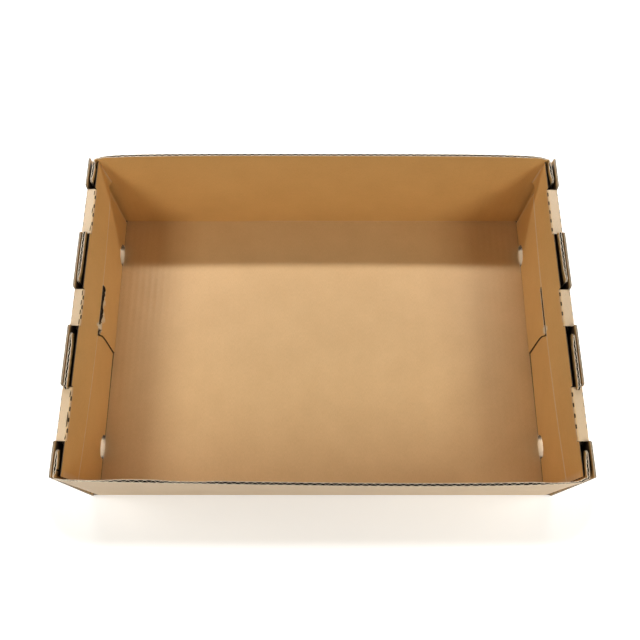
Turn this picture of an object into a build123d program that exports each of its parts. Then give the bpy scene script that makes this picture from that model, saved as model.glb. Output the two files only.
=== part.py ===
from build123d import *
import os

os.makedirs("parts", exist_ok=True)

# A shallow tray box folded from one die-cut sheet of brown corrugated board.
# The origin is on the table, under the middle of the tray. +X runs along the
# length, +Y to the back, +Z up. The two ends roll over and lock; the two long
# walls are one board thick and carry the corner flaps inside the ends.

# Outline of the folded tray
length = 592.0
end_width = 400.0
rim_height = 158.0
tab_rise = 8.0
board = 3.2

# Long walls: foot, outward lean at the corners and bow half way along
wall_set_back = 1.1
corner_lean = 4.5
wall_bow = 4.5
corner_bend = 3.0

# Play between the layers of an end
slip = 0.2
floor_slip = 0.3
bridge_slip = 0.4
side_slip = 1.0

# Roll-over panel: play behind its three layers, going down
rim_play = 3.1
knee_play = 5.4
foot_play = 0.4
knee_drop = 54.0

# Windows along the rim of an end, where the tabs stand up
middle_bridge = 47.0
window_length = 73.4
corner_window = 40.8
lip_rise = 3.0
lip_crush = 1.0

# Corner flaps: gap between the free ends, and where the tabs stand
flap_gap = 28.0
tab_start_gap = 6.5
tab_end_gap = 0.6
flap_lift = 1.0

# Roll-over panel below the knee: notches, seam and slit
notch_width = 11.2
notch_height = 9.0
ear_rise = 3.0
foot_side_gap = 2.7
seam_place = -8.5
seam_gap = 1.4
slit_length = 60.0
torn_slit_height = 4.0
closed_slit_height = 1.4

# Air vents at the foot of each end, arches that stand on the floor
vent_from_side = 62.0
vent_length = 31.0
vent_height = 20.0
vent_spring = 5.0

# Sizes that follow from the ones above
half_length = length / 2
half_end = end_width / 2
tab_top = rim_height + tab_rise
knee_height = rim_height - knee_drop
foot_level = board + floor_slip
wall_foot = half_end - wall_set_back
outer_inside = half_length - board
flap_outside = outer_inside - slip
flap_inside = flap_outside - board
rim_inside = half_length - 3 * board - rim_play
knee_inside = half_length - 3 * board - knee_play
foot_inside = half_length - 3 * board - foot_play
window_start = middle_bridge / 2
window_end = window_start + window_length
corner_window_start = half_end - corner_window
flap_end = flap_gap / 2
seam_front = seam_place - seam_gap / 2
seam_back = seam_place + seam_gap / 2

# A fold crushes the board: rounded outside at the floor, tighter at the rim
fold_round = 0.65 * board
crease_round = 0.3 * board
lip_board = board - lip_crush

bridges = (
    (-window_start, window_start),
    (window_end, corner_window_start),
    (-corner_window_start, -window_end),
)


def block(x_low, x_high, y_low, y_high, z_low, z_high, mode=Mode.ADD):
    """A straight-sided block between two corners."""
    middle = ((x_low + x_high) / 2, (y_low + y_high) / 2, (z_low + z_high) / 2)
    with Locations(middle):
        Box(x_high - x_low, y_high - y_low, z_high - z_low, mode=mode)


def wall_inner_face(level):
    """Distance from the middle to a long wall's inner face at its corner."""
    share = (level - board) / (tab_top - board)
    return wall_foot - board + corner_lean * share


# Floor, with the rounded folds under its four sides
with BuildPart() as floor_panel:
    block(-half_length, half_length, -wall_foot, wall_foot, 0, board)
    fillet(floor_panel.edges().group_by(Axis.Z)[0], radius=fold_round)


def wall_section(level, face_y, bow):
    """Plan of the back wall and its corner flaps: one strip with two bends."""
    with BuildSketch(Plane.XY.offset(level)) as section:
        with BuildLine():
            for side_x, wall_y, bend in (
                (flap_outside, face_y, corner_bend + board),
                (flap_inside, face_y - board, corner_bend),
            ):
                left_foot = (-side_x, wall_y - bend)
                left_wall = (-side_x + bend, wall_y)
                right_wall = (side_x - bend, wall_y)
                right_foot = (side_x, wall_y - bend)
                Line((-side_x, flap_end), left_foot)
                RadiusArc(left_foot, left_wall, bend)
                if bow > 0:
                    ThreePointArc(left_wall, (0, wall_y + bow), right_wall)
                else:
                    Line(left_wall, right_wall)
                RadiusArc(right_wall, right_foot, bend)
                Line(right_foot, (side_x, flap_end))
            Line((flap_outside, flap_end), (flap_inside, flap_end))
            Line((-flap_outside, flap_end), (-flap_inside, flap_end))
        make_face()
    return section.sketch


# Back wall with its corner flaps; the top leans out and bows
foot_section = wall_section(board, wall_foot, 0)
top_section = wall_section(tab_top, wall_foot + corner_lean, wall_bow)
with BuildPart() as back_wall:
    loft([foot_section, top_section], ruled=True)
    under_bridge = rim_height - board - bridge_slip
    bend_start = wall_foot - board - corner_bend
    for side in (-1, 1):
        near, far = sorted((side * (flap_inside - slip), side * (flap_outside + slip)))
        # Low edges between the window tabs, under the bridges
        for start, end in (
            (flap_end - slip, window_start + tab_start_gap),
            (window_end - tab_end_gap, corner_window_start + tab_start_gap),
        ):
            block(near, far, start, end, under_bridge, tab_top + slip, Mode.SUBTRACT)
        # Lower edge, lifted clear of the floor
        block(near, far, flap_end - slip, bend_start, 0, board + flap_lift, Mode.SUBTRACT)

# Outer end panel: full height in the windows, lower under the bridges
with BuildPart() as outer_end:
    block(outer_inside, half_length, -half_end, half_end, 0, tab_top)
    foot_fold = outer_end.edges().filter_by(Axis.Y).group_by(Axis.Z)[0].sort_by(Axis.X)[-1]
    fillet(foot_fold, radius=fold_round)
    for start, end in bridges:
        block(outer_inside, half_length, start, end, rim_height - board, tab_top, Mode.SUBTRACT)

# Bridges over the layers, rounded at both creases
with BuildPart() as rim_bridges:
    for start, end in bridges:
        block(rim_inside, half_length, start, end, rim_height - board, rim_height)
    fillet(rim_bridges.edges().filter_by(Axis.Y).group_by(Axis.Z)[-1], radius=crease_round)

# Section of the roll-over panel: rim, knee and foot, one board thick
panel_top = rim_height - crease_round
with BuildSketch(Plane.XZ) as inner_profile:
    with BuildLine():
        Polyline(
            (rim_inside, panel_top),
            (knee_inside, knee_height),
            (foot_inside, foot_level),
            (foot_inside + board, foot_level),
            (knee_inside + board, knee_height),
            (rim_inside + board, panel_top),
            close=True,
        )
    make_face()

# Face of the roll-over panel, half of it: side edge, ear, notch and taper
rim_half = wall_inner_face(panel_top) - side_slip
ear_half = wall_inner_face(knee_height) - side_slip
knee_half = ear_half - notch_width
foot_half = wall_inner_face(foot_level) - foot_side_gap
with BuildSketch(Plane.YZ) as inner_outline:
    with BuildLine():
        Line((0, panel_top), (rim_half, panel_top))
        Line((rim_half, panel_top), (ear_half, knee_height + ear_rise))
        ThreePointArc(
            (ear_half, knee_height + ear_rise),
            (ear_half - notch_width / 2, knee_height + notch_height),
            (knee_half, knee_height),
        )
        Line((knee_half, knee_height), (foot_half, foot_level))
        Line((foot_half, foot_level), (0, foot_level))
        Line((0, foot_level), (0, panel_top))
    make_face()
    mirror(about=Plane.YZ)

# Roll-over inner panel, with the lips in the windows and the seam below the knee
with BuildPart() as inner_end:
    extrude(inner_profile.sketch, amount=half_end, both=True)
    extrude(inner_outline.sketch, amount=length, mode=Mode.INTERSECT)
    lip_inside = rim_inside + lip_board
    for start, end in ((window_start, window_end), (corner_window_start, rim_half)):
        block(rim_inside, lip_inside, start, end, panel_top, rim_height + lip_rise)
        block(rim_inside, lip_inside, -end, -start, panel_top, rim_height + lip_rise)
    block(0, half_length, seam_front, seam_back, 0, knee_height, Mode.SUBTRACT)

# The slit along the knee is torn open at the left end and still narrow at the right
slit_end = seam_front + slit_length
with BuildPart() as right_inner:
    add(inner_end.part)
    slit_low = knee_height - closed_slit_height
    block(0, half_length, seam_front, slit_end, slit_low, knee_height, Mode.SUBTRACT)
with BuildPart() as left_inner:
    mirror(inner_end.part, about=Plane.YZ)
    slit_low = knee_height - torn_slit_height
    block(-half_length, 0, seam_front, slit_end, slit_low, knee_height, Mode.SUBTRACT)

# Arches of the air vents, in the plane across the tray
with BuildSketch(Plane.YZ) as vent_arches:
    for place in (vent_from_side - half_end, half_end - vent_from_side):
        front = place - vent_length / 2
        back = place + vent_length / 2
        with BuildLine():
            Line((front, board), (front, board + vent_spring))
            ThreePointArc(
                (front, board + vent_spring),
                (place, board + vent_height),
                (back, board + vent_spring),
            )
            Line((back, board + vent_spring), (back, board))
            Line((back, board), (front, board))
        make_face()

# The whole tray, one folded sheet
with BuildPart() as tray:
    add(floor_panel.part)
    add(back_wall.part)
    mirror(back_wall.part, about=Plane.XZ)
    add(outer_end.part)
    add(rim_bridges.part)
    mirror(outer_end.part, about=Plane.YZ)
    mirror(rim_bridges.part, about=Plane.YZ)
    add(right_inner.part)
    add(left_inner.part)
    extrude(vent_arches.sketch, amount=length, both=True, mode=Mode.SUBTRACT)

tray.part.label = "tray"
export_step(tray.part, "parts/tray.step")
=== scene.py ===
# %% [markdown]
# # A folded cardboard tray
# The tray is one sheet of brown corrugated board, cut flat and folded up. Its
# two ends roll over at the rim and tuck down inside, and its two long walls
# carry corner flaps that are trapped in the ends. This lesson builds it the
# way the factory does: cut the flat shape, then fold it. Each sheet is drawn
# flat in millimetres, and a function says where each of its points goes in
# the folded tray.

# %% Load the frame and measure the solid tray
import json
import math

import bpy
import numpy as np
from mathutils import Matrix, Vector
from mathutils.geometry import delaunay_2d_cdt


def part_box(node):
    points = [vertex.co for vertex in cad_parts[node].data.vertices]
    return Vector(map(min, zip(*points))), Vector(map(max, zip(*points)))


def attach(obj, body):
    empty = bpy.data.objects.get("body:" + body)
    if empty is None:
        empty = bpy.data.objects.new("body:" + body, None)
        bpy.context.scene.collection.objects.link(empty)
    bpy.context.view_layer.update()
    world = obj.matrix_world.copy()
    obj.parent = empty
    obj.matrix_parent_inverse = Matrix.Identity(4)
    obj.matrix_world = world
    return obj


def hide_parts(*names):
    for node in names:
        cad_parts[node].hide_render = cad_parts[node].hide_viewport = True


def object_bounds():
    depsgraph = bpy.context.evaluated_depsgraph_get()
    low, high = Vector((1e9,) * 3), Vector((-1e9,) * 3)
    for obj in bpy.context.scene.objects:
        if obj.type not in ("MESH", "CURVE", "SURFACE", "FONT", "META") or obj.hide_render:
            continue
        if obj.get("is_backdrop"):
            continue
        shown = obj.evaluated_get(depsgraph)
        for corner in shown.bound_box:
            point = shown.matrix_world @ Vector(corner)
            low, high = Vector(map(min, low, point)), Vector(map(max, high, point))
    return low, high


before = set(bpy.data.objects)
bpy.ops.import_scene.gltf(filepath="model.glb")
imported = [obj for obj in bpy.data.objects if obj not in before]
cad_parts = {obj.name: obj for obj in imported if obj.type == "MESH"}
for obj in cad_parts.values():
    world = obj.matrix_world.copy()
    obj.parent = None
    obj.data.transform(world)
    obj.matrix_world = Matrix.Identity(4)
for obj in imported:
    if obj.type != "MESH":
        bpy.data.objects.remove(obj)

MM = 0.001
cad_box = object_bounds()
tray_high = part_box("tray")[1]
half_length = tray_high[0] / MM
tab_top = tray_high[2] / MM
print("half length", round(half_length, 2), "mm, tab top", round(tab_top, 2), "mm")

# %% [markdown]
# ## Sizes of the sheet
# The overall length and height come from the solid tray. The rest are the
# board's thickness and the places of folds, windows and cuts, in millimetres.
# The board is drawn a little thicker where its flutes are open at a cut edge,
# because the folded parts of a real sheet are crushed and the free edges not.
# Where the two ends differ, -1 stands for the left one and 1 for the right.

# %% Sizes of the sheet
board = 3.2
liner = 0.62
fluting = 0.42
flute_pitch = 9.14
slot_pitch = 12.3
slot_length = 5.2
slot_first = {-1: 0, 1: 5}

half_end = 200
wall_foot = 198.9
rim_height = 158
floor_fold = 2.2
outer_panel_x = half_length
flap_x = half_length - board - 0.5
rim_x = half_length - 12.7
knee_x = half_length - 15
foot_x = half_length - 10
knee_height = 104
foot_height = 4

window = (23.5, 96.9)
corner_start = 159.2
lip_rise = 3
kerf = 0.35
panel_half_at_rim = 198.4
ear_half = 197
front_ear_half = 197.6
knee_half = 185
foot_half = 193
seam_y = -8.5
seam_top_y = -15.8
slit_end_y = 50

vent_y = 138
vent_length = 31
vent_height = 20
vent_spring = 5
print("board", board, "mm, rim", rim_height, "mm, knee", knee_height, "mm")

# %% [markdown]
# ## From a flat drawing to a mesh
# A flat shape with holes is easiest to cut with a constrained triangulation:
# it keeps every cut edge, and extra lines across the shape give the mesh the
# rows and columns that it needs to bend. Triangles that fall in a hole or
# outside the outline are thrown away by counting the edges crossed.

# %% Cut a flat sheet
def cut_flat(outline, holes, lines_s, lines_t):
    """Points and triangles of a flat shape with holes, divided by lines."""
    rings = [np.array(ring, dtype=float) for ring in (outline, *holes)]
    points, edges = [], []
    for ring in rings:
        first = len(points)
        points += [Vector(p) for p in ring]
        edges += [(first + i, first + (i + 1) % len(ring)) for i in range(len(ring))]
    margin, snap = 1, 1e-5
    low, high = rings[0].min(axis=0) - margin, rings[0].max(axis=0) + margin
    for s in lines_s:
        edges.append((len(points), len(points) + 1))
        points += [Vector((s, low[1])), Vector((s, high[1]))]
    for t in lines_t:
        edges.append((len(points), len(points) + 1))
        points += [Vector((low[0], t)), Vector((high[0], t))]
    made = delaunay_2d_cdt(points, edges, [], 0, snap)
    flat = np.array([tuple(v) for v in made[0]])
    triangles = np.array(made[2])
    middle = flat[triangles].mean(axis=1)
    inside = np.zeros(len(middle), dtype=int)
    for ring in rings:
        for a, b in zip(ring, np.roll(ring, -1, axis=0)):
            crosses = (a[1] > middle[:, 1]) != (b[1] > middle[:, 1])
            if a[1] != b[1]:
                at = a[0] + (middle[:, 1] - a[1]) * (b[0] - a[0]) / (b[1] - a[1])
                inside += crosses & (middle[:, 0] < at)
    triangles = triangles[inside % 2 == 1]
    used = np.unique(triangles)
    renumber = np.zeros(len(flat), dtype=int)
    renumber[used] = np.arange(len(used))
    return flat[used], renumber[triangles]

# %% [markdown]
# ## Corrugated board
# Board is two flat papers, the liners, with a wavy paper glued between them.
# Where the board is cut across the waves you look into rows of small open
# cells. A solid slab with a picture of flutes on its edge would look painted,
# so the three papers are real meshes here: each is a thin closed shell, and
# the middle one follows a sine wave.

# %% Thicken flat sheets into papers
def paper_shell(flat, triangles, at_depth, near, far):
    """One closed thin paper: two faces, and the cut edge between them."""
    count = len(flat)
    points = np.vstack([at_depth(flat, near), at_depth(flat, far)])
    near_faces = triangles
    far_faces = triangles[:, ::-1] + count
    sides = {}
    for a, b, c in triangles:
        for edge in ((a, b), (b, c), (c, a)):
            if (edge[1], edge[0]) in sides:
                del sides[(edge[1], edge[0])]
            else:
                sides[edge] = True
    rims = np.array([(b, a, a + count, b + count) for a, b in sides])
    return points, near_faces, far_faces, rims

# %% [markdown]
# A piece collects its papers. It then writes them as one Blender object,
# with the numbers that its materials read.

# %% Collect the papers of a piece
class Board:
    """Collects the papers of one piece and turns them into a Blender object."""

    def __init__(self, name):
        self.name = name
        self.points, self.faces, self.kinds, self.flats, self.looks = [], [], [], [], []
        self.shades = []

    def add(self, shell, flat, near_kind, far_kind, look=None, near_shade=None, far_shade=None,
            edge_shade=None):
        points, near_faces, far_faces, rims = shell
        first = sum(len(p) for p in self.points)
        self.points.append(points)
        both = np.vstack([flat, flat])
        self.flats.append(both)
        s, t = flat[:, 0], flat[:, 1]
        lit_and_worn, torn, ribs = look(s, t) if look else (0 * s, 0 * s, 0 * s)
        looks = np.column_stack([lit_and_worn, torn, ribs])
        self.looks.append(np.vstack([looks, looks]))
        for faces, slot, shade in ((near_faces, near_kind, near_shade),
                                   (far_faces, far_kind, far_shade), (rims, 1, edge_shade)):
            self.faces += [tuple(int(i) + first for i in f) for f in faces]
            self.kinds += [slot] * len(faces)
            middle = both[faces].mean(axis=1)
            dark = shade(middle[:, 0], middle[:, 1]) if shade else 0 * middle[:, 0]
            self.shades.append(np.clip(dark, 0, 1))

    def make(self, materials):
        mesh = bpy.data.meshes.new(self.name)
        points = np.vstack(self.points) * MM
        mesh.from_pydata(points.tolist(), [], self.faces)
        for material in materials:
            mesh.materials.append(material)
        mesh.polygons.foreach_set("material_index", self.kinds)
        flat = np.vstack(self.flats) * MM
        drawn = np.column_stack([flat, np.zeros(len(flat))])
        for key, values in (("flat", drawn), ("look", np.vstack(self.looks))):
            attribute = mesh.attributes.new(key, "FLOAT_VECTOR", "POINT")
            attribute.data.foreach_set("vector", values.ravel())
        shade = mesh.attributes.new("shade", "FLOAT", "FACE")
        shade.data.foreach_set("value", np.concatenate(self.shades))
        mesh.polygons.foreach_set("use_smooth", [True] * len(mesh.polygons))
        mesh.set_sharp_from_angle(angle=math.radians(38))
        mesh.update()
        piece = bpy.data.objects.new(self.name, mesh)
        bpy.context.scene.collection.objects.link(piece)
        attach(piece, "root")
        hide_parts("tray")
        triangles = sum(len(p.vertices) - 2 for p in mesh.polygons)
        print(self.name, len(mesh.vertices), "points,", triangles, "triangles")

# %% [markdown]
# A folded sheet is offset along its own normal to get its thickness. The
# normal comes from two small steps on the surface, so any fold function works
# without formulas of its own.

# %% Offset a folded surface by a depth
def slope(surface, s, t, step_s, step_t):
    """The surface's run in one direction. Beside a cut it keeps to its own side."""
    here = surface(s, t)
    ahead = surface(s + step_s, t + step_t) - here
    behind = here - surface(s - step_s, t - step_t)
    jump = 6 * (step_s + step_t)
    torn_ahead = np.linalg.norm(ahead, axis=1) > jump
    torn_behind = np.linalg.norm(behind, axis=1) > jump
    run = ahead + behind
    run[torn_ahead & ~torn_behind] = behind[torn_ahead & ~torn_behind]
    run[torn_behind & ~torn_ahead] = ahead[torn_behind & ~torn_ahead]
    return run


def folded(surface, thickness, inward_hint):
    """Gives a function that places flat points at a share of the board's depth."""
    def at_depth(flat, share):
        s, t = flat[:, 0], flat[:, 1]
        step = 0.02
        along = slope(surface, s, t, step, 0)
        up = slope(surface, s, t, 0, step)
        inward = np.cross(along, up) * inward_hint
        length = np.linalg.norm(inward, axis=1)
        length[length == 0] = 1
        inward = inward / length[:, None]
        return surface(s, t) + inward * (thickness(s, t) * share(s, t))[:, None]
    return at_depth

# %% [markdown]
# A board is three such papers. The two liners follow its faces, and the wavy
# one between them needs lines of its own, close enough for its waves.

# %% Make a board of three papers
def add_board(piece, outline, holes, surface, thickness, inward_hint, lines_s, lines_t,
              core_lines, core_phase=0, outer_look=None, inner_look=None,
              outer_shade=None, inner_shade=None, edge_shade=None):
    """Adds two liners and the wavy paper between them, which needs lines of its own to bend.
    A look gives how pale a point is painted, mostly painted light, how torn and how ribbed it is,
    and a shade how dark a face is painted, painted shade for a gap."""
    thickest_liner, thickest_core, glue = 0.46, 0.15, 0.06
    flat, triangles = cut_flat(outline, holes, lines_s, lines_t)
    at_depth = folded(surface, thickness, inward_hint)

    def share(s, t):
        return np.minimum(liner / thickness(s, t), thickest_liner)

    piece.add(paper_shell(flat, triangles, at_depth, lambda s, t: 0 * s, share), flat, 0, 2,
              outer_look, outer_shade, None, edge_shade)
    piece.add(paper_shell(flat, triangles, at_depth, lambda s, t: 1 - share(s, t),
                          lambda s, t: 1 + 0 * s), flat, 2, 0,
              inner_look, None, inner_shade, edge_shade)
    if core_lines is None:
        return
    flat, triangles = cut_flat(outline, holes, *core_lines)

    def wave(s, t, side):
        paper = np.minimum(fluting, thickest_core * thickness(s, t))
        room = 0.5 * thickness(s, t) - liner - 0.5 * paper + glue
        swing = np.maximum(room, 0) * np.sin(2 * math.pi * (s + core_phase) / flute_pitch)
        return 0.5 + (swing + side * 0.5 * paper) / thickness(s, t)

    piece.add(paper_shell(flat, triangles, at_depth,
                          lambda s, t: wave(s, t, -1),
                          lambda s, t: wave(s, t, 1)), flat, 2, 2, edge_shade=edge_shade)


def spread(low, high, step):
    """Evenly spaced lines from low to high, about step apart."""
    count = max(1, round((high - low) / step))
    return list(np.linspace(low, high, count + 1))

# %% [markdown]
# ## Fold lines as rounded paths
# Seen from the side, a folded sheet is a path of straight runs and tight
# bends. The path is sampled finely once, and a point that is so many
# millimetres along it is then looked up.

# %% Rounded path of a folded sheet
def rounded_path(corners, radii):
    """A path with rounded corners: lengths, points, and where each bend starts and ends."""
    steps = 12
    corners = [np.array(c, dtype=float) for c in corners]
    points, bends = [corners[0]], []
    for i in range(1, len(corners) - 1):
        before = corners[i] - corners[i - 1]
        after = corners[i + 1] - corners[i]
        before, after = before / np.linalg.norm(before), after / np.linalg.norm(after)
        turn = math.acos(max(-1, min(1, float(before @ after))))
        trim = radii[i - 1] * math.tan(turn / 2)
        start = corners[i] - before * trim
        toward = after - before
        centre = corners[i] + toward / np.linalg.norm(toward) * radii[i - 1] / math.cos(turn / 2)
        points.append(start)
        bends.append(len(points) - 1)
        for k in range(1, steps + 1):
            angle = turn * k / steps
            arm = start - centre
            side = before * radii[i - 1]
            points.append(centre + arm * math.cos(angle) + side * math.sin(angle))
        bends.append(len(points) - 1)
    points.append(corners[-1])
    points = np.array(points)
    lengths = np.concatenate([[0], np.cumsum(np.linalg.norm(np.diff(points, axis=0), axis=1))])
    return lengths, points, [lengths[b] for b in bends]

# %% [markdown]
# A point is then looked up by its length along the path. Arcs are drawn
# through three points, as in the solid tray.

# %% Look up a point and draw an arc
def along(path, s):
    """The point at length s, running straight on past either end."""
    lengths, points = path[0], path[1]
    x = np.interp(s, lengths, points[:, 0])
    z = np.interp(s, lengths, points[:, 1])
    past = np.maximum(s - lengths[-1], 0)
    run = (points[-1] - points[-2]) / np.linalg.norm(points[-1] - points[-2])
    return x + past * run[0], z + past * run[1]


def arc(start, middle, end, count=10):
    """Points on the circle through three points, from start to end."""
    a, b, c = (complex(*p) for p in (start, middle, end))
    w = (c - a) / (b - a)
    centre = (b - a) * (w - abs(w) ** 2) / (w - w.conjugate()) + a
    first = math.atan2((a - centre).imag, (a - centre).real)
    bend = math.atan2((b - centre).imag, (b - centre).real)
    last = math.atan2((c - centre).imag, (c - centre).real)
    full = 2 * math.pi
    forward = (last - first) % full
    if (bend - first) % full > forward:
        forward -= full
    radius = abs(a - centre)
    return [(centre.real + radius * math.cos(first + forward * k / count),
             centre.imag + radius * math.sin(first + forward * k / count))
            for k in range(count + 1)]

# %% [markdown]
# ## The long strip: floor, ends and roll-over panels
# One strip runs from inside the left end, over its rim, down outside, under
# the floor and up the other end in the same way. The flutes run across it,
# from front to back. The path below is its right half, from the middle of
# the floor.

# %% Path of the right half of the strip
end_path = rounded_path(
    [(0, 0), (outer_panel_x, 0), (outer_panel_x, rim_height), (rim_x, rim_height),
     (knee_x, knee_height), (foot_x, foot_height)],
    [floor_fold, 1.7, 1.7, 7],
)
fold_in, fold_out, rim_in, rim_out, lip_in, lip_out, knee_in, knee_out = end_path[2]
rim_crease, lip_crease = (rim_in + rim_out) / 2, (lip_in + lip_out) / 2
knee_s = (knee_in + knee_out) / 2
foot_s = float(end_path[0][-1])
outer_top = float(along(end_path, rim_in)[1])
tab_s = rim_in + (tab_top - outer_top)
lip_top = float(along(end_path, lip_out)[1])
lip_s = lip_out - (rim_height + lip_rise - lip_top)
cut_s = (tab_s + lip_s) / 2
print("half of the strip is", round(foot_s, 1), "mm long")

# %% [markdown]
# In a window of the rim the outer panel runs straight on into a tab, and the
# inner panel runs straight up into a short lip. Between the windows the same
# sheet bends over as a bridge.

# %% Where along the strip
def in_window(y):
    """True where the rim is cut, between two bridges."""
    y = abs(y)
    return ((y >= window[0]) & (y <= window[1])) | (y >= corner_start)


def knee_shape(height):
    """0 at the rim and at the floor, 1 at the knee."""
    above = (rim_height - height) / (rim_height - knee_height)
    below = height / knee_height
    return np.clip(np.minimum(above, below), 0, 1)


def ease(value):
    """Goes smoothly from 0 to 1 as value does."""
    value = np.clip(value, 0, 1)
    return value * value * (3 - 2 * value)


def near(value, place, reach, power=2):
    """1 at a place, and falling away to 0 on both sides of it."""
    return np.exp(-((value - place) / reach) ** power)


def seam_line(s):
    """Where the seam runs: straight up from the floor, then forward near the knee."""
    return np.interp(s - knee_s, [0, 6, 12, 20, 30, 45],
                     [seam_top_y, -14.6, -13, -10.6, -9.2, seam_y])


print("windows from", *window, "and from", corner_start, "mm")

# %% [markdown]
# The panel below the knee isn't quite flat. It bulges in the middle, beside
# its seam the back part stands in front, and on the left its torn edge stands
# out raggedly. The list below gives that edge, as places and how proud it is.
# One function holds these small departures, because a new Blender user would
# otherwise push points by hand, and lose them at the next change of size.

# %% Fold the strip
torn_proud = [(-17, 0), (-14.5, 1), (-9, 3.2), (-4, 3.6), (0.5, 2.6), (1.8, 0.6),
              (4.8, 0.8), (7.5, 2.2), (10.3, 3.4), (12.2, 2.2), (14.4, 3), (18.5, 3.2),
              (20.5, 1.6), (22.6, 1), (28, 0.8), (32.9, 2.3), (35.2, 1.5), (37.7, 3.3),
              (40.4, 3), (41.8, 1.8), (44.5, 3.8), (48.6, 3.9), (51, 0)]


def end_surface(side):
    """The folded strip's outer surface on one side of the tray. side is -1 on the left."""
    rim_tight = 1.1 if side < 0 else 0
    slit_proud = 1.6 if side < 0 else 1.1
    knee_bulge, knee_back = 4.2, 2.7
    curl_share, seam_step, seam_reach = 0.55, 0.9, 60
    puff_height = 0.35

    def surface(s, y):
        windowed = in_window(y)
        x, z = along(end_path, s)
        tab = windowed & (s > rim_in) & (s < cut_s)
        x = np.where(tab, outer_panel_x, x)
        z = np.where(tab, outer_top + (s - rim_in), z)
        lip = windowed & (s >= cut_s) & (s < lip_out)
        lean = (rim_x - knee_x) / (rim_height - knee_height)
        x = np.where(lip, along(end_path, lip_out)[0] + lean * (lip_out - s), x)
        z = np.where(lip, lip_top + (lip_out - s), z)

        # The left end is rolled a little tighter than the right one
        across = np.clip((outer_panel_x - x) / (outer_panel_x - rim_x), 0, 1)
        height = np.clip((z - knee_height) / (rim_height - knee_height), 0, 1)
        inner = s > lip_in
        x = x + np.where(tab, 0, rim_tight * np.where(inner, height, across * (s > rim_in)))

        # The knee bulges into the tray, most at the middle
        middle = 1 - (y / half_end) ** 2
        bulge = (knee_bulge * middle - knee_back) * knee_shape(z)

        # The side edge above the notch curls inward against the long wall
        crease = 198.5 - (rim_height - z) * 0.18
        curled = (y > 0) & (s < knee_s - 1)
        curl = np.where(curled, curl_share * np.clip(y - crease, 0, None), 0)
        curl = curl * (z > knee_height)

        # Below the knee the back part stands in front of the front part at the seam
        below = np.clip((knee_height - z) / knee_height, 0, 1)
        lower = s > knee_s + 0.4
        seam = seam_line(s)
        near_seam = near(y, seam, seam_reach)
        step = np.where(y > seam, seam_step, -seam_step) * near_seam * below ** 0.5
        in_slit = ease((y - seam_top_y + 5) / 5) * ease((slit_end_y + 2 - y) / 7)
        proud = slit_proud * in_slit * np.exp(-(s - knee_s) / 20)
        if side < 0:
            ragged = np.interp(y, [place for place, width in torn_proud],
                               [width for place, width in torn_proud])
            proud = proud + ragged * np.exp(-(s - knee_s) / 6)
            joined = ease(y + 9) * ease(0.9 - y)
            proud = proud * (1 - joined * (1 - ease((s - knee_s) / 9)))
        step = step + np.where(lower & (y > seam), proud, 0)
        x = np.where(inner, x - bulge - curl - step, x)

        # The front part's foot hangs a little clear of the floor
        lift = np.where(y < seam, 1.3, 0.5) * ease((s - foot_s + 30) / 30)
        z = z + np.where(lower, lift, 0)

        # Paper puffs out between the cuts of a perforated crease
        puff = puff_height * np.abs(np.sin(math.pi * (y - slot_first[side]) / slot_pitch))
        at_rim = near(s, rim_crease, 1.5) * (~windowed)
        at_lip = near(s, lip_crease, 1.5) * (~windowed)
        x = x + puff * (0.7 * at_rim - at_lip)
        z = z + puff * 0.6 * (at_rim + at_lip)
        return np.column_stack([side * x, y, z])
    return surface

# %% [markdown]
# A crease is pressed into the board before it is folded, so the board is
# thinner there. Each row below gives a crease's place, how much thinner the
# board is, and how far that reaches. Tabs and lips are pressed as well.

# %% Thickness of the ends
def end_thickness(s, y):
    """Board thickness on an end: crushed at every crease, fuller on the panels."""
    crease = near(y, seam_line(s), 5) * (s > knee_s + 1)
    windowed = in_window(y)
    for place, depth, reach in (
        ((fold_in + fold_out) / 2, 1.2, 4),
        (rim_crease, 1.7, 2.6),
        (lip_crease, 1.7, 2.6),
        (knee_s, 1.2, 3),
    ):
        part = depth * near(s, place, reach)
        if (rim_in < place < lip_out):
            part = np.where(windowed, 0, part)
        crease = crease + part
    tab_crush = 1.3 * ease((s - rim_in + 4) / 9) * (s < cut_s)
    lip_crush = 2.4 * ease((lip_out + 7 - s) / 9) * (s > cut_s)
    return board - crease - np.where(windowed, tab_crush + lip_crush, 0)


print("board at the knee", round(float(end_thickness(knee_s, np.array(60))), 2), "mm")

# %% [markdown]
# The flat outline of one end is walked from the floor to the foot of the
# roll-over panel. Its front and back edges mirror each other, but only the
# back one is notched beside the knee.

# %% Side edges of an end
def side_edge(sign):
    """The front or back edge of an end, from the floor fold to the other foot."""
    start = corner_start
    points = [
        (fold_in, wall_foot - 2.6), (fold_in + 0.4, wall_foot), (fold_out, half_end),
        (tab_s - 1.2, half_end), (tab_s, half_end - 0.6), (tab_s, start + kerf + 2),
        (tab_s - 3.5, start + kerf), (rim_in + 0.4, start + kerf), (rim_in - 0.4, start),
        (lip_out, start), (lip_out, start + kerf), (lip_s, start + kerf + 0.4),
        (lip_s, panel_half_at_rim), (lip_out, panel_half_at_rim - 0.3),
    ]
    if sign > 0:
        points += arc((knee_s - 8.5, ear_half), (knee_s - 7.6, 190),
                      (knee_s + 1.2, knee_half), 12)
    else:
        points += [(knee_s - 1, front_ear_half), (knee_s + 10, front_ear_half - 1.4)]
    points += [(foot_s, foot_half)]
    return [(s, sign * y) for s, y in points]


print("back edge with", len(side_edge(1)), "points, front edge with", len(side_edge(-1)))

# %% [markdown]
# The slit along the knee is torn on the left, and only a little open on the
# right. Both ragged edges are lists of a place across the tray and a depth
# below the knee, read off the photograph and drawn as they are.

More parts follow.
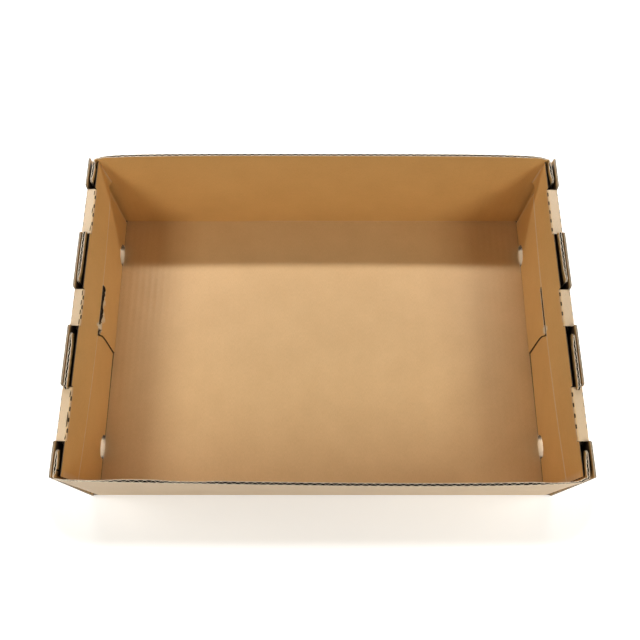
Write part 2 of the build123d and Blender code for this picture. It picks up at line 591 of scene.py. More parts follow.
# %% Seam and slit
torn_edge = [(50, 0.6), (48.8, 4.6), (46, 5), (43, 3.3), (40, 3.6), (37, 3),
             (34.5, 3.9), (32, 3.4), (29.5, 2.6), (27, 2.9), (24, 2.4), (21.5, 3.6),
             (19, 4.6), (16, 4.2), (13.5, 4.8), (11, 3), (8.5, 2.6), (6, 2.8),
             (3.5, 2), (1, 2.2), (0.2, 0.6)]
narrow_edge = [(49.5, 1.6), (44, 2.1), (40, 1.5), (37, 0.8), (34, 1.2), (29, 1.7),
               (24, 1.4), (18, 1.8), (12, 1.4), (6, 1.8), (1, 1.5), (-4, 1.9)]


def seam_edge(torn):
    """The foot edge with its seam, up to the slit that turns back along the knee."""
    places = [45, 30, 20, 12, 6, 2.4]
    front = [(foot_s, seam_y - 0.6)]
    front += [(knee_s + d, float(seam_line(knee_s + d)) - 0.6) for d in places]
    back = [(s, y + 1.2) for s, y in front[::-1]]
    if torn:
        slit = [(knee_s, seam_top_y - 0.6), (knee_s, -8), (knee_s + 0.9, -8.2),
                (knee_s + 2.2, -12.5)]
    else:
        slit = [(knee_s, seam_top_y - 0.6), (knee_s, narrow_edge[0][0])]
        slit += [(knee_s + depth, y) for y, depth in narrow_edge]
        slit += [(knee_s + 1.6, -9), (knee_s + 2.2, -13)]
    return [*front, *slit, *back]


print("slits with", len(torn_edge), "and", len(narrow_edge), "points")

# %% [markdown]
# The rim's creases are perforated, so that the stiff board folds on a line.
# Windows, perforations and vents are all closed rings in the flat drawing.

# %% Windows, perforations and vents
def window_hole(low, high):
    """The cut round a window, between its tab and its lip."""
    return [
        (rim_in - 0.4, low - kerf), (rim_in - 0.4, low), (tab_s - 3, low), (tab_s, low + 2),
        (tab_s, high - 2), (tab_s - 3, high), (rim_in - 0.4, high),
        (rim_in - 0.4, high + kerf), (lip_out + 0.2, high + kerf), (lip_out + 0.2, high),
        (lip_s, high - 0.4), (lip_s, low + 0.4), (lip_out + 0.2, low), (lip_out + 0.2, low - kerf),
    ]


def slots(place, low, high, width, first):
    """Perforation cuts along a crease, in step on all bridges of an end."""
    made = []
    middle = first + slot_pitch * math.ceil((low + 4.5 - first) / slot_pitch)
    while middle < high - 4.5:
        near, far = middle - slot_length / 2, middle + slot_length / 2
        tip = 0.4 * width
        made.append([(place - width, near + 0.5), (place - tip, near), (place + tip, near),
                     (place + width, near + 0.5), (place + width, far - 0.5), (place + tip, far),
                     (place - tip, far), (place - width, far - 0.5)])
        middle += slot_pitch
    return made


def vent_arch(count):
    """The arch of an air vent, as heights above its foot and places across it."""
    half = vent_length / 2
    return arc((vent_spring, half), (vent_height, 0), (vent_spring, -half), count)


def vent_ring(place, base, up):
    """An arch on the fold at base, with its foot. up is 1 or -1, the way that it rises."""
    half = vent_length / 2
    ring = [(0, half), *vent_arch(14), (0, -half)]
    return [(base + up * rise, place + up * y) for rise, y in ring]


print("air vents", vent_length, "x", vent_height, "mm")

# %% [markdown]
# Every window, slot and vent is a hole in the same flat drawing, so a cut
# goes through both liners and the flutes between them at once.

# %% Outline and holes of an end
def end_outline(torn):
    """One closed ring round an end, with the arches cut into its foot."""
    back = side_edge(1)
    front = side_edge(-1)
    foot = seam_edge(torn)
    vents = [vent_ring(place, foot_s, -1) for place in (-vent_y, vent_y)]
    return [*front, *vents[0], *foot, *vents[1], *back[::-1]]


def end_holes(torn, first):
    """The windows, perforations and outer arches, and the torn hole on the left."""
    bridge_spans = ((-window[0], window[0]), (window[1], corner_start),
                    (-corner_start, -window[1]))
    holes = [window_hole(*window), window_hole(-window[1], -window[0])]
    for low, high in bridge_spans:
        holes += slots(rim_crease, low, high, 0.7, first)
        holes += slots(lip_crease + 0.3, low, high, 1.05, first)
    holes += [vent_ring(place, fold_out + 0.8, 1) for place in (-vent_y, vent_y)]
    if torn:
        holes.append([(knee_s, 0.2), (knee_s, 50),
                      *[(knee_s + depth, y) for y, depth in torn_edge]])
    return holes


print("holes in the left end:", len(end_holes(True, slot_first[-1])))

# %% [markdown]
# Each point keeps three numbers, how pale it is painted, how torn, and how
# much its flutes show through, and the paper's material reads them later.
# Most of that paleness is painted light: the outside and the band of the rim
# are painted paler, as lit faces look, and each puff of the perforated crease
# gets a painted highlight. The knee's pale line is partly a worn crease and
# partly a painted highlight. Torn paper is pale fibre, and a thin pale line
# runs along the side edge of each roll-over panel.

# %% Where the ends are painted pale, and torn
faint_ribs = 0.15


def panel_half(s, y):
    """How far a roll-over panel reaches to the front or back."""
    back = np.interp(s, [lip_out, knee_s - 8.5, knee_s - 1, knee_s + 1.2, foot_s],
                     [panel_half_at_rim, ear_half, ear_half, knee_half, foot_half])
    front = np.interp(s, [lip_out, knee_s - 1, knee_s + 10, foot_s],
                      [panel_half_at_rim, front_ear_half, front_ear_half - 1.4, foot_half])
    return np.where(y > 0, back, front)


def end_look(torn, first):
    edge_y = np.array([y for y, depth in torn_edge[::-1]])
    edge_depth = np.array([depth for y, depth in torn_edge[::-1]])

    def look(s, y):
        rng = np.random.default_rng(7)
        waves = [(rng.uniform(0.05, 0.45), rng.uniform(0, 6.3)) for _ in range(6)]
        ripple = sum(np.sin(y * f + p) for f, p in waves) / 3
        bridge = ~in_window(y)
        # Painted light: the outside and the rim's band are drawn paler, as lit faces look
        outside = 0.8 * (s < rim_in)
        band = ease((s - rim_in + 2) / 2) * ease((lip_in + 1 - s) / 1.5) * bridge
        # Painted highlight on each puff of the perforated crease
        puffs = np.abs(np.sin(math.pi * (y - first) / slot_pitch)) ** 0.6
        crease = 1.25 * near(s, lip_crease + 0.4, 0.9) * puffs * bridge
        # The knee's pale line, partly a worn crease and partly a painted highlight
        broken = np.clip((0.75 if torn else 0.95) + 0.35 * ripple, 0.3, 1)
        knee_width = 0.8 if torn else 1.2
        knee = near(s, knee_s + 0.3, knee_width) * broken
        # A thin pale line along the panel's side edge
        pale_side_edge = 0.8 * near(panel_half(s, y), np.abs(y), 1) * (s > lip_out)
        lit_and_worn = np.maximum.reduce([outside, 0.9 * band, crease, knee, pale_side_edge])

        depth = s - knee_s
        if torn:
            reach = 7 + 14 * near(y, 12, 5.5) + 5 * near(y, 31, 6)
            ragged = np.interp(y, edge_y, edge_depth) + reach + 1.1 * np.abs(ripple)
            strip = (y > -1) & (y < 50.5) & (depth < ragged) & (depth > 0.3)
            patch = ((y + 3) / 6) ** 2 + ((depth - 5) / (8 + 1.2 * ripple)) ** 2 < 1
        else:
            strip = (y > -14) & (y < 49) & (depth > 0.5) & (depth < 4 + 1.5 * ripple)
            patch = ((y + 7.5) / 5) ** 2 + ((depth - 3) / 7) ** 2 < 1
        # Along the knee the same pale line is also drawn in torn-fibre colour
        return lit_and_worn, np.where(strip | patch, 1, 0.8 * knee * (y < 175)), faint_ribs + 0 * s
    return look


# One paleness over a whole face, mostly painted light for lit faces
def plain_look(paleness):
    return lambda s, t: (paleness + 0 * s, 0 * s, faint_ribs + 0 * s)


print("flutes show through by", faint_ribs, "on the ends")

# %% [markdown]
# Between two layers of a folded sheet it is nearly black, because light has
# to bounce many times off brown paper to get out. That shade is painted: each
# face keeps a number, how much it lies in such a gap, and the papers darken by
# it later.

# %% Where the ends are dark
def end_inner_shade(s, y):
    """Painted shade on the side between the layers, but not on the tops of the tabs."""
    tab = in_window(y) & (s < cut_s)
    beside_wall = ease((half_end - 2 - np.abs(y)) / 4)
    return np.where(tab, ease((tab_s - 1.5 - s) / 6), 1) * beside_wall


def end_edge_shade(s, y):
    """Painted shade on cut edges in a gap: lips, perforations and slit, and a painted shadow at
    the seam. Tab edges are drawn somewhat darker.
    """
    windowed = in_window(y)
    lips = 0.9 * (windowed & (s > cut_s) & (s < lip_out + 1))
    perforations = 0.85 * (~windowed & (s > rim_in - 0.5) & (s < lip_out + 1.5))
    middle = (y > -1) & (y < slit_end_y + 2)
    slit = 0.9 * (middle & (np.abs(s - knee_s) < 7))
    # Painted shadow along the seam, where the back part stands in front
    seam = 0.8 * ((s > knee_s + 1) & (np.abs(y - seam_line(s)) < 2))
    darker_tab_edges = 0.4 * (windowed & (s > rim_in) & (s < cut_s))
    return np.maximum.reduce([lips, perforations, slit, seam, darker_tab_edges])


print("edges of the slit are darkened by", end_edge_shade(knee_s, 20 * np.ones(1))[0])

# %% [markdown]
# A flat triangle can't bend, so lines divide the drawing: close together
# round every fold and along the slit, and wide apart on the flat panels. The
# fluting paper needs eight lines to a flute to look like a wave.

# %% Lines that divide the ends
flute_steps = 8
bends = [*spread(fold_in, fold_out, 0.5), *spread(rim_in, rim_out, 0.45),
         *spread(rim_out, lip_in, 1.5), *spread(lip_in, lip_out, 0.45),
         *spread(knee_in - 2, knee_out + 6, 0.9)]
end_lines_s = bends + spread(fold_out, rim_in - 10, 17) + [rim_in - 6, rim_in - 3] \
    + spread(lip_out, knee_in - 2, 5.5) \
    + spread(knee_out + 6, foot_s, 8)
end_lines_t = [*spread(-190, -20, 8.5), *spread(-20, 56, 2), *spread(62, 180, 8.5),
               183, 186, 189, 192, 194.5]
core_step = flute_pitch / flute_steps
end_core_lines = (spread(fold_out + 1, rim_in, core_step) + spread(rim_in, rim_out, 0.45)
                  + spread(rim_out, lip_in, 1) + spread(lip_in, lip_out, 0.45)
                  + spread(lip_out, foot_s - 0.5, core_step),
                  [-196, -150, -110, -60, *spread(-30, 56, 4), 110, 150,
                   180, 184, 187, 190, 193, 196])

print(len(end_lines_s), "lines across an end,", len(end_lines_t), "along it")

# %% [markdown]
# Now both ends are cut and folded, each as one piece with its three papers.

# %% Cut and fold both ends
ends = []
for name, side, torn in (("left_end", -1, True), ("right_end", 1, False)):
    piece = Board(name)
    first = slot_first[side]
    add_board(piece, end_outline(torn), end_holes(torn, first), end_surface(side), end_thickness,
              side, end_lines_s, end_lines_t, end_core_lines, 0,
              end_look(torn, first), plain_look(0.1), None, end_inner_shade, end_edge_shade)
    ends.append(piece)
    print(name, "has", sum(len(p) for p in piece.points), "points")

# %% [markdown]
# ## The floor
# The floor is the plain middle of the strip. Its flutes never show, because
# all four of its edges are folds, so it has only its two liners. At the back
# left they press through as ribs. Its top is painted a little paler than the
# walls, painted light for the light on it, and in the vents it is painted pale
# where light comes in from outside.

# %% Cut the floor
floor_y = wall_foot - 2.4


def floor_surface(s, y):
    """Nearly flat, with a hair of rise and fall."""
    rise = 0.12 * np.sin(s / 61 + 0.7) * np.sin(y / 47 + 0.3)
    return np.column_stack([s, y, np.maximum(rise, 0)])


def floor_shade(s, y):
    """Painted shade under the roll-over panels, but not where a vent lets light in."""
    beside_vent = np.clip((np.abs(np.abs(y) - vent_y) - 10) / 3, 0, 1)
    return 0.8 * (np.abs(s) > foot_x + 0.2) * beside_vent


def floor_look(s, y):
    """Painted a little paler all over, and pale in the vents: painted light. The flutes show most
    at the back left.
    """
    at_left = near(s, -236, 34) * near(y, 78, 42)
    # Painted light in the vents, where light comes in from outside
    lit_in_vent = (np.abs(s) > foot_x - 0.5) & (np.abs(np.abs(y) - vent_y) < 15)
    return np.where(lit_in_vent, 1, 0.33), 0 * s, 0.25 + 0.75 * at_left


flap_reach = half_length - 11
floor_corner = [(flap_reach, floor_y), (flap_reach, wall_foot - 0.3), (fold_in, wall_foot - 0.3)]
floor_ring = [*floor_corner, *[(x, -y) for x, y in floor_corner[::-1]],
              *[(-x, -y) for x, y in floor_corner], *[(-x, y) for x, y in floor_corner[::-1]]]
under_feet = [foot_x + 0.2, foot_x + 3, foot_x + 6]
floor = Board("floor_panel")
add_board(floor, floor_ring, [], floor_surface, lambda s, y: board + 0 * s, 1,
          [*[-x for x in under_feet], *spread(-foot_x + 1, foot_x - 1, 24), *under_feet],
          [*spread(-floor_y, -160, 12), *spread(-152, -124, 2), *spread(-110, 110, 24),
           *spread(124, 152, 2), *spread(160, floor_y, 12)], None, 0,
          plain_look(0.33), floor_look, None, floor_shade)
print("floor", round(2 * flap_reach), "x", round(2 * wall_foot), "mm")

# %% [markdown]
# ## The long walls with their corner flaps
# Each long wall is a strip that runs round two corners, and ends in the flaps
# that the rolled ends trap. Nothing holds its top edge between the corners,
# so it leans out and bows.

# %% Plan of a long wall at its foot
corner_radius = 4.6
flap_free = 14
wall_path = rounded_path([(0, wall_foot), (flap_x, wall_foot), (flap_x, flap_free)],
                         [corner_radius])
bend_in, bend_out = wall_path[2]
flap_end_s = float(wall_path[0][-1])
fold_path = rounded_path([(-floor_fold - 0.2, 0), (0, 0), (0, tab_top)], [floor_fold])
wall_top_t = float(fold_path[0][-1])


def height_to_t(height):
    """The length up the wall's sheet at a height above the table."""
    return wall_top_t - (tab_top - height)


def flap_to_s(y):
    """The length along the strip at a distance from the middle of an end."""
    return flap_end_s - (y - flap_free)

print("wall strip", round(2 * flap_end_s), "mm long")

# %% [markdown]
# The lean was measured along both top edges of the photograph, and a short
# formula follows each.

# %% Lean and bow of the long walls
wall_reach = 291
lean_reach = 287.5


def back_lean(x):
    u = np.abs(x) / wall_reach
    return np.clip(7.5 - 3.2 * u ** 4 - 4.3 * u ** 20, 0.2, None)


def front_lean(x):
    u = np.clip(x / wall_reach, -1, 1)
    return 4.5 + 5.8 * np.sqrt(np.clip(1 - u ** 2, 0, 1)) * (1 + 0.55 * u)


def wall_surface(facing, lean, insets):
    """The folded wall's outer surface. facing is 1 for the back wall and -1 for the front.
    insets says how far the top of the left and of the right corner stands in."""
    def surface(s, t):
        side = np.sign(s)
        x, y = along(wall_path, np.abs(s))
        x = x * side
        step = 0.02
        ahead = along(wall_path, np.abs(s) + step)
        behind = along(wall_path, np.abs(s) - step)
        run_x, run_y = (ahead[0] - behind[0]) * side, ahead[1] - behind[1]
        length = np.hypot(run_x, run_y)
        length = np.where(length == 0, 1, length)
        out_x, out_y = -run_y / length * side, run_x / length * side
        offset, z = along(fold_path, t)
        share = np.clip(z, 0, None) / tab_top
        corner_x = np.clip(x, -lean_reach, lean_reach)
        size = np.abs(s)
        pinned = 1 - 0.25 * np.clip((size - bend_in + 6) / 6, 0, 1)
        y = y + lean(corner_x) * share * pinned
        inset = np.where(s < 0, insets[0], insets[1]) * ease((size - bend_in + 14) / 14)
        inset = inset * np.exp(-np.clip(size - bend_out, 0, None) / 50)
        x = x - side * inset * share
        return np.column_stack([x + out_x * offset, facing * (y + out_y * offset), z])
    return surface


print("walls lean out", back_lean(0), "mm at the back,", round(front_lean(0), 1), "in front")

# %% [markdown]
# The board keeps its full thickness where the wall's top edge is free, and is
# pressed flat near the corners, where the fold and the trapped flap squeeze
# it. That is why the open flutes show along the middle of each edge only.

# %% Thickness of the long walls
def wall_thickness(crushes, open_board):
    """crushes lists (x, reach, depth): where the edge is pressed, how far, and how much."""
    def thickness(s, t):
        size = np.abs(s)
        x = along(wall_path, size)[0] * np.sign(s)
        height = np.clip(t / wall_top_t, 0, 1)
        full = board + (open_board - board) * height ** 3
        for place, reach, depth in crushes:
            full = full - depth * height ** 4 * near(x, place, reach, 4)
        at_bend = near(size, (bend_in + bend_out) / 2, 5)
        on_flap = np.clip((size - bend_out) / 3, 0, 1)
        full = full * (1 - on_flap) + (board + 0.35 * height ** 6) * on_flap
        free_end = near(size, flap_to_s(window[0] + 6.5), 9)
        inner_end = near(size, flap_to_s(corner_start + 6.8), 8)
        pinch = (free_end + inner_end) * height ** 8
        return full - 0.9 * at_bend - 1.6 * pinch
    return thickness


print("top edge at", round(wall_top_t, 1), "mm up the sheet")

# %% [markdown]
# The flaps reach nearly to the middle of an end. Under a bridge they are cut
# low, and in a window a tab of them stands up. Their top corners are blunt,
# and beside each tab a small relief keeps the bridge from pressing on it.

# %% Outline of a long wall
def wall_outline():
    """A wall with its flaps, walked along the foot and back along the top."""
    foot_t = height_to_t(4.4)
    low_t = height_to_t(rim_height - board - 0.5)
    relief_t = height_to_t(128)
    fold_end = bend_in - 2
    half = vent_length / 2
    arch = [(flap_to_s(vent_y + y), height_to_t(board + rise)) for rise, y in vent_arch(12)]
    right_foot = [(fold_end - 1.5, 0), (fold_end, foot_t), (flap_to_s(vent_y + half), foot_t),
                  *arch, (flap_to_s(vent_y - half), foot_t), (flap_end_s, foot_t)]
    tab_ring = [
        (window[0] - 1, low_t), (window[0] + 0.5, relief_t), (window[0] + 5, relief_t),
        (window[0] + 6.8, wall_top_t - 3.5), (window[0] + 9.5, wall_top_t - 0.6),
        (window[1] - 2.5, wall_top_t - 0.3), (window[1] - 0.6, wall_top_t - 3),
        (window[1] - 0.3, low_t), (corner_start - 1, low_t), (corner_start + 0.5, relief_t),
        (corner_start + 5.2, relief_t), (corner_start + 6.8, wall_top_t - 3.6),
        (corner_start + 9.8, wall_top_t - 0.4),
    ]
    tabs = [(flap_end_s, low_t), *[(flap_to_s(y), t) for y, t in tab_ring],
            (bend_out + 2, wall_top_t - 0.1), (bend_in - 3, wall_top_t)]
    right = [*right_foot, *tabs]
    left = [(-s, t) for s, t in right[::-1]]
    return [*right, *left]


fold_top_t = fold_path[2][1]
flap_edges = [flap_to_s(y) for y in (window[0] + 6.5, window[1] - 0.6, corner_start + 6.8)]
half_lines = [*spread(6, bend_in - 24, 12), *spread(bend_in - 24, bend_in, 3),
              *spread(bend_in, bend_out, 0.8), *spread(bend_out, flap_end_s, 10), *flap_edges]
wall_lines_s = sorted([-s for s in half_lines] + half_lines)
wall_lines_t = [*spread(0.2, fold_top_t, 0.6), *spread(fold_top_t + 0.6, fold_top_t + 3, 0.6),
                *spread(fold_top_t + 10, wall_top_t - 12, 17),
                wall_top_t - 8, wall_top_t - 4, wall_top_t - 1.5]
print(len(wall_lines_s), "lines across a wall,", len(wall_lines_t), "along it")

# %% [markdown]
# The flaps lie between the layers of an end, so they are painted dark, painted
# shade, but for their top edges. Inside, a thin pale line is drawn where the
# wall meets the floor.

# %% Painted shade and a pale line on a long wall
core_reach = flap_end_s - 1
wall_core_lines = (spread(-core_reach, core_reach, core_step),
                   [fold_top_t + 1, 80, wall_top_t - 30, wall_top_t - 8])


def wall_look(s, t):
    # A thin pale line along the fold at the floor
    line = near(t, fold_top_t + 1.7, 0.6) * ease((s + 130) / 60)
    return 0.8 * line, 0 * s, faint_ribs + 0 * s


def flap_shade(clear):
    """Painted shade on a flap. clear says how far down a flap still catches light."""
    def shade(s, t):
        return ease((wall_top_t - clear - t) / 6) * ease((np.abs(s) - bend_out - 1) / 4)
    return shade


# Painted shade on the flaps' cut edges below their tops
def wall_edge_shade(s, t):
    return 0.9 * ((np.abs(s) > bend_out) & (t < wall_top_t - 6))


print("flaps are dark beyond", round(bend_out, 1), "mm from the middle")

# %% [markdown]
# Each wall gets its own lean, crushed places and corners. Each crushed place
# gives where it is, how far it reaches and how much thinner the board is.

# %% Cut and fold both long walls
walls = []
for name, facing, lean, open_board, crushes, phase, insets in (
    ("back_wall", 1, back_lean, 3.4, [(-285, 16, 1.2), (285, 18, 1.2)], 0, (2.4, 3)),
    ("front_wall", -1, front_lean, 3.8,
     [(-275, 50, 2), (-148, 26, 1.1), (261, 24, 1.8)], 2.3, (0.4, 3.2)),
):
    piece = Board(name)
    # plain_look(0.8) paints the outsides pale, painted light; the flaps get painted shade
    add_board(piece, wall_outline(), [], wall_surface(facing, lean, insets),
              wall_thickness(crushes, open_board), facing, wall_lines_s, wall_lines_t,
              wall_core_lines, phase, plain_look(0.8), wall_look, flap_shade(1),
              flap_shade(3), wall_edge_shade)
    walls.append(piece)
    print(name, "has", sum(len(p) for p in piece.points), "points")

# %% [markdown]
# ## Kraft paper
# The liners are unbleached kraft: long brown fibres, a slightly cloudy
# colour, and a dry surface. The colour is mixed from three noises: broad
# clouds, short fibres along the machine direction, and fine specks. The bump
# repeats the fibres and adds the faint ribs of the flutes underneath.

# %% Node helpers
def new_material(name, roughness, sheen=0.5):
    material = bpy.data.materials.new(name)
    material.use_nodes = True
    tree = material.node_tree
    shader = tree.nodes["Principled BSDF"]
    shader.inputs["Roughness"].default_value = roughness
    shader.inputs["Specular IOR Level"].default_value = sheen
    return material, tree, shader


def node(tree, kind, inputs=None, **settings):
    """A shader node with its inputs linked or set."""
    made = tree.nodes.new("ShaderNode" + kind)
    for key, value in settings.items():
        setattr(made, key, value)
    for key, value in (inputs or {}).items():
        if hasattr(value, "is_linked"):
            tree.links.new(value, made.inputs[key])
        else:
            made.inputs[key].default_value = value
    return made

# %% [markdown]
# Noises, ramps and mixes repeat in every paper, so each is a function too.

# %% Colour helpers
def ramp(tree, factor, stops):
    made = tree.nodes.new("ShaderNodeValToRGB")
    tree.links.new(factor, made.inputs["Fac"])
    elements = made.color_ramp.elements
    while len(elements) > len(stops):
        elements.remove(elements[-1])
    while len(elements) < len(stops):
        elements.new(0.5)
    for element, (place, colour) in zip(elements, stops):
        element.position = place
        element.color = (*colour, 1)
    return made.outputs["Color"]


def noise(tree, vector, scale, detail, roughness=0.5):
    return node(tree, "TexNoise", {"Vector": vector, "Scale": scale, "Detail": detail,
                                   "Roughness": roughness}).outputs["Fac"]


def reckon(tree, operation, *values, kind="Math"):
    """A node that calculates with numbers, or with vectors."""
    return node(tree, kind, dict(enumerate(values)), operation=operation).outputs


def mix(tree, factor, first, second, blend="MIX"):
    made = tree.nodes.new("ShaderNodeMix")
    made.data_type = "RGBA"
    made.blend_type = blend
    for socket, value in ((made.inputs["Factor"], factor), (made.inputs["A"], first),
                          (made.inputs["B"], second)):
        if hasattr(value, "is_linked"):
            tree.links.new(value, socket)
        elif socket.type == "RGBA":
            socket.default_value = (*value, 1)
        else:
            socket.default_value = value
    return made.outputs["Result"]


def shaded(tree, colour):
    """Paints shade into a paper where its piece says that little light gets in."""
    dark = node(tree, "Attribute", attribute_name="shade").outputs["Fac"]
    keep = ramp(tree, dark, [(0, (1, 1, 1)), (1, (0.05, 0.035, 0.022))])
    return mix(tree, 1, colour, keep, "MULTIPLY")

# %% [markdown]
# The colours are those of the papers in plain light, but for two. Inside, the
# kraft is golden. The paler kraft is mostly painted light: it goes outside, on
# the rim and on the floor as lit faces look, and along the knee it is partly a
# worn crease. It also draws thin pale lines along edges and folds. Torn fibre
# and fresh cut edges are paler still. The fluting paper is only seen deep in
# its cells, so it is painted nearly black, painted shade for those cells.

# %% Colours of the papers
liner_gold = (0.770, 0.480, 0.178)
liner_lit_and_worn = (0.780, 0.600, 0.405)
torn_fibre = (0.900, 0.800, 0.620)
edge_pale = (0.860, 0.750, 0.590)
edge_dark = (0.640, 0.510, 0.390)
core_painted_dark = (0.026, 0.017, 0.010)
print("golden kraft", liner_gold, "pale lit and worn kraft", liner_lit_and_worn)

# %% [markdown]
# Kraft liner has the three noises, the torn fibre, and two bumps, each a few
# tenths of a millimetre high at the most. Its dry sheen is a plain number on
# the shader, because it is the same all over.

# %% Kraft liner
def kraft_liner():
    material, tree, shader = new_material("kraft_liner", 0.56, 0.7)
    drawn = node(tree, "Attribute", attribute_name="flat").outputs["Vector"]
    look = node(tree, "Attribute", attribute_name="look").outputs["Vector"]
    parts = node(tree, "SeparateXYZ", {"Vector": look})
    stretched = node(tree, "Mapping", {"Vector": drawn, "Scale": (1500, 260, 1)})
    cloud = noise(tree, drawn, 17, 5, 0.62)
    fibre = noise(tree, stretched.outputs["Vector"], 1, 3, 0.6)
    speck = noise(tree, drawn, 850, 2)
    base = mix(tree, parts.outputs["X"], liner_gold, liner_lit_and_worn)
    clouds = ramp(tree, cloud, [(0.30, (0.955, 0.945, 0.93)), (0.70, (1.03, 1.035, 1.045))])
    fibres = ramp(tree, fibre, [(0.3, (0.93, 0.92, 0.90)), (0.75, (1.04, 1.04, 1.05))])
    specks = ramp(tree, speck, [(0.25, (0.82, 0.79, 0.75)), (0.40, (1, 1, 1))])
    colour = mix(tree, 1, base, clouds, "MULTIPLY")
    colour = mix(tree, 1, colour, fibres, "MULTIPLY")
    colour = mix(tree, 0.5, colour, specks, "MULTIPLY")
    ragged = ramp(tree, fibre, [(0.35, tuple(0.72 * c for c in torn_fibre)), (0.6, torn_fibre)])
    colour = mix(tree, parts.outputs["Y"], colour, ragged)
    tree.links.new(shaded(tree, colour), shader.inputs["Base Color"])
    bands = 1000 / flute_pitch / math.pi
    rib = node(tree, "TexWave", {"Vector": drawn, "Scale": bands, "Distortion": 0.6,
                                 "Detail": 1, "Detail Scale": 0.3}, bands_direction="X")
    ribs = node(tree, "Bump", {"Height": rib.outputs["Fac"], "Strength": parts.outputs["Z"],
                               "Distance": 0.0004})
    bump = node(tree, "Bump", {"Height": fibre, "Strength": 0.20, "Distance": 0.0002,
                               "Normal": ribs.outputs["Normal"]})
    tree.links.new(bump.outputs["Normal"], shader.inputs["Normal"])
    return material

# %% [markdown]
# A cut edge is frayed, so its fibres are pale and brown in patches and stand
# up a little. The fluting paper is plain, and painted nearly black for the
# shade deep in its cells. Both are drier than the liner, and both take their
# noise from the place on the tray.

# %% Cut edges and fluting paper
def patchy(name, roughness, scale, fineness, stops):
    """A dry material, its nodes, its shader, its noise and its colour."""
    material, tree, shader = new_material(name, roughness, 0.2)
    place = node(tree, "NewGeometry").outputs["Position"]
    cloud = noise(tree, place, scale, 3, fineness)
    return material, tree, shader, cloud, ramp(tree, cloud, stops)


liner_paper = kraft_liner()
cut_edge, tree, shader, frayed, colour = patchy("kraft_cut_edge", 0.95, 420, 0.7,
                                                [(0.38, edge_dark), (0.55, edge_pale)])
tree.links.new(shaded(tree, colour), shader.inputs["Base Color"])
bump = node(tree, "Bump", {"Height": frayed, "Strength": 0.4, "Distance": 0.0003})
tree.links.new(bump.outputs["Normal"], shader.inputs["Normal"])
core_shadow = tuple(0.8 * c for c in core_painted_dark)
fluting_paper, tree, shader, _, colour = patchy("fluting_paper", 0.9, 300, 0.5,
                                                [(0.3, core_shadow), (0.7, core_painted_dark)])
tree.links.new(colour, shader.inputs["Base Color"])
papers = [liner_paper, cut_edge, fluting_paper]
for piece in (floor, *ends, *walls):
    piece.make(papers)

# %% [markdown]
# ## Camera
# The photograph was taken from above and in front with a wide lens. Its place
# was solved from the tray's own straight edges: a corner of the rim and a
# corner of the floor fix the height, and the long edges fix the turn.

# %% Camera
focal_pixels = 735.650
sensor_mm = 36
photo_pixels = 640
camera_place = (-5.675 * MM, -315.457 * MM, 970.131 * MM)
camera_pitch, camera_yaw, camera_roll = (math.radians(a) for a in (69.754, 0.504, 0.529))

forward = Vector((math.sin(camera_yaw) * math.cos(camera_pitch),
                  math.cos(camera_yaw) * math.cos(camera_pitch), -math.sin(camera_pitch)))
level = Vector((math.cos(camera_yaw), -math.sin(camera_yaw), 0))
upward = level.cross(forward)
right = math.cos(camera_roll) * level + math.sin(camera_roll) * upward
up = -math.sin(camera_roll) * level + math.cos(camera_roll) * upward
turn = Matrix((right, up, -forward)).transposed()

camera_data = bpy.data.cameras.new("camera")
camera_data.sensor_width = sensor_mm
camera_data.lens = focal_pixels * sensor_mm / photo_pixels
camera = bpy.data.objects.new("camera", camera_data)
camera.matrix_world = Matrix.Translation(camera_place) @ turn.to_4x4()
bpy.context.scene.collection.objects.link(camera)
bpy.context.scene.camera = camera
print("lens", round(camera_data.lens, 2), "mm")

# %% [markdown]
# ## Light and table
# Three narrow lamps hang in a row above and behind the tray. Being narrow
# from front to back they draw the back wall's shadow on the floor with a
# clean edge, and being long from left to right they let the shade of the two
# ends fade. Two softer lamps stand above the front corners, for the back wall
# and the roll-over panels. Low lamps reach the outside, and a narrow beam
# on each side shines down past the end, so that the air vents are seen.

# %% Lamps
def area_lamp(name, place, aim, size, watts, colour):
    data = bpy.data.lights.new(name, "AREA")
    data.shape = "RECTANGLE"
    data.size, data.size_y = size
    data.energy = watts
    data.color = colour
    lamp = bpy.data.objects.new(name, data)
    lamp.location = place
    lamp.rotation_euler = (Vector(aim) - Vector(place)).to_track_quat("-Z", "Y").to_euler()
    bpy.context.scene.collection.objects.link(lamp)
    return lamp


white, warm = (1, 1, 1), (1, 0.95, 0.85)
strip_y, high, low = 0.42, 0.62, 0.05
lamps = [
    ("back_strip", (0, strip_y, high), (0, strip_y, 0), (0.90, 0.03), 1.08, white),
    ("back_left", (-0.43, strip_y, high), (-0.43, strip_y, 0), (0.26, 0.03), 1.95, white),
    ("back_right", (0.41, strip_y, high), (0.41, strip_y, 0), (0.26, 0.03), 1.6, white),
    ("front_left", (-0.52, -0.34, high), (-0.52, -0.34, 0), (0.18, 0.50), 2.5, warm),
    ("front_right", (0.57, -0.46, high), (0.57, -0.46, 0), (0.22, 0.36), 3.4, warm),
    ("side_left", (-1.05, -0.05, 0.72), (-0.3, 0, 0), (0.4, 0.4), 0.65, white),
    ("side_right", (1.05, -0.05, 0.72), (0.3, 0, 0), (0.4, 0.4), 0.6, white),
    ("vents_left", (-0.62, 0, 0.55), (-0.30, 0, 0), (0.36, 0.04), 0.07, white),
    ("vents_right", (0.62, 0, 0.55), (0.30, 0, 0), (0.36, 0.04), 0.07, white),
    ("low_back", (0, 1.2, 0.40), (0, 0, low), (0.6, 0.3), 1.3, warm),
    ("low_front", (0, -1.2, 0.35), (0, 0, low), (0.8, 0.4), 1.95, white),
]
for name, place, aim, size, watts, colour in lamps:
    lamp = area_lamp(name, place, aim, size, watts, colour)
    if name.startswith("vents"):
        lamp.data.spread = math.radians(20)
print(len(lamps), "lamps")

# %% [markdown]
# The surround is white where the camera sees it. In the dry sheen of the
# paper it is faint, and it gives no other light, so the lamps alone shape
# the tray.

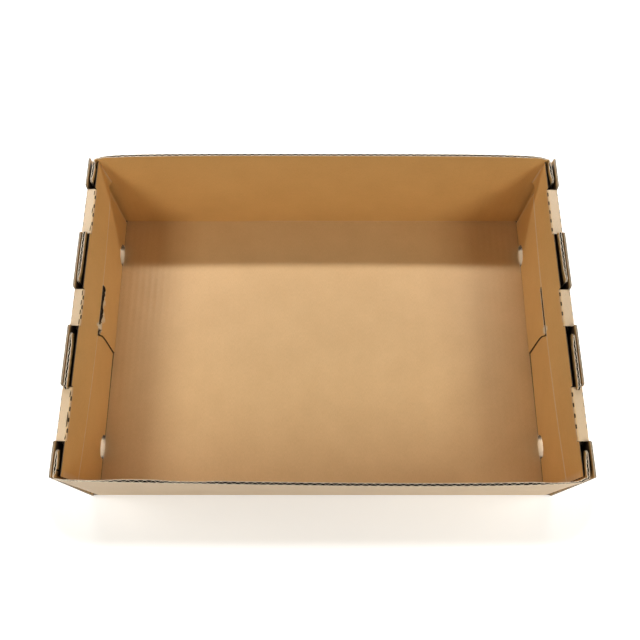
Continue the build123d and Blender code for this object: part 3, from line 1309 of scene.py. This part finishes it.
# %% World
world = bpy.data.worlds.new("studio")
world.use_nodes = True
bpy.context.scene.world = world
bpy.context.scene.view_settings.view_transform = "Standard"
sky = world.node_tree
background = sky.nodes["Background"]
background.inputs["Color"].default_value = (1, 1, 1, 1)
paths = node(sky, "LightPath").outputs
sheen_share = 0.12
faint = reckon(sky, "MULTIPLY", paths["Is Glossy Ray"], sheen_share)[0]
mirrored = reckon(sky, "MAXIMUM", faint, paths["Is Transmission Ray"])[0]
seen_white = reckon(sky, "MAXIMUM", paths["Is Camera Ray"], mirrored)[0]
sky.links.new(seen_white, background.inputs["Strength"])
print("world", world.name)

# %% [markdown]
# The table is a plain white sheet that also glows for the camera. Close to
# the tray it glows less, so that the tray's soft shadow on it stays visible.
# That shadow is real, but its outer edge, where the glow rises between 52 and
# 72 mm from the tray, is a painted shadow edge. Further out it is plain white.

# %% Table
table_mesh = bpy.data.meshes.new("table")
reach, gap = 6, 0.0003
table_mesh.from_pydata([(-reach, -reach, 0), (reach, -reach, 0), (reach, reach, 0),
                        (-reach, reach, 0)], [], [(0, 1, 2, 3)])
table = bpy.data.objects.new("table", table_mesh)
table.location.z = -gap
bpy.context.scene.collection.objects.link(table)
table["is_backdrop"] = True

white_table, tree, shader = new_material("white_table", 0.9)
shader.inputs["Base Color"].default_value = (0.86, 0.86, 0.86, 1)
rays = node(tree, "LightPath").outputs
either = reckon(tree, "MAXIMUM", rays["Is Camera Ray"], rays["Is Glossy Ray"])[0]
footprint = (half_length * MM, half_end * MM, 1)
place = node(tree, "NewGeometry").outputs["Position"]
away = reckon(tree, "ABSOLUTE", place, kind="VectorMath")["Vector"]
away = reckon(tree, "SUBTRACT", away, footprint, kind="VectorMath")["Vector"]
away = reckon(tree, "MAXIMUM", away, (0, 0, 0), kind="VectorMath")["Vector"]
distance = reckon(tree, "LENGTH", away, kind="VectorMath")["Value"]
rise = node(tree, "MapRange", {"Value": distance, "From Min": 0.052, "From Max": 0.072,
                               "To Min": 0.27, "To Max": 0.62},
            interpolation_type="SMOOTHSTEP").outputs["Result"]
glow = node(tree, "Emission", {"Color": (1, 1, 1, 1),
                               "Strength": reckon(tree, "MULTIPLY", either, rise)[0]})
both = node(tree, "AddShader", {0: shader.outputs["BSDF"], 1: glow.outputs["Emission"]})
tree.links.new(both.outputs["Shader"], tree.nodes["Material Output"].inputs["Surface"])
table_mesh.materials.append(white_table)
print("table", 2 * reach, "m wide")

# %% Print the sizes and finish
size = {"cad": [list(corner) for corner in cad_box],
        "visual": [list(corner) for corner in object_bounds()]}
print(json.dumps(size))
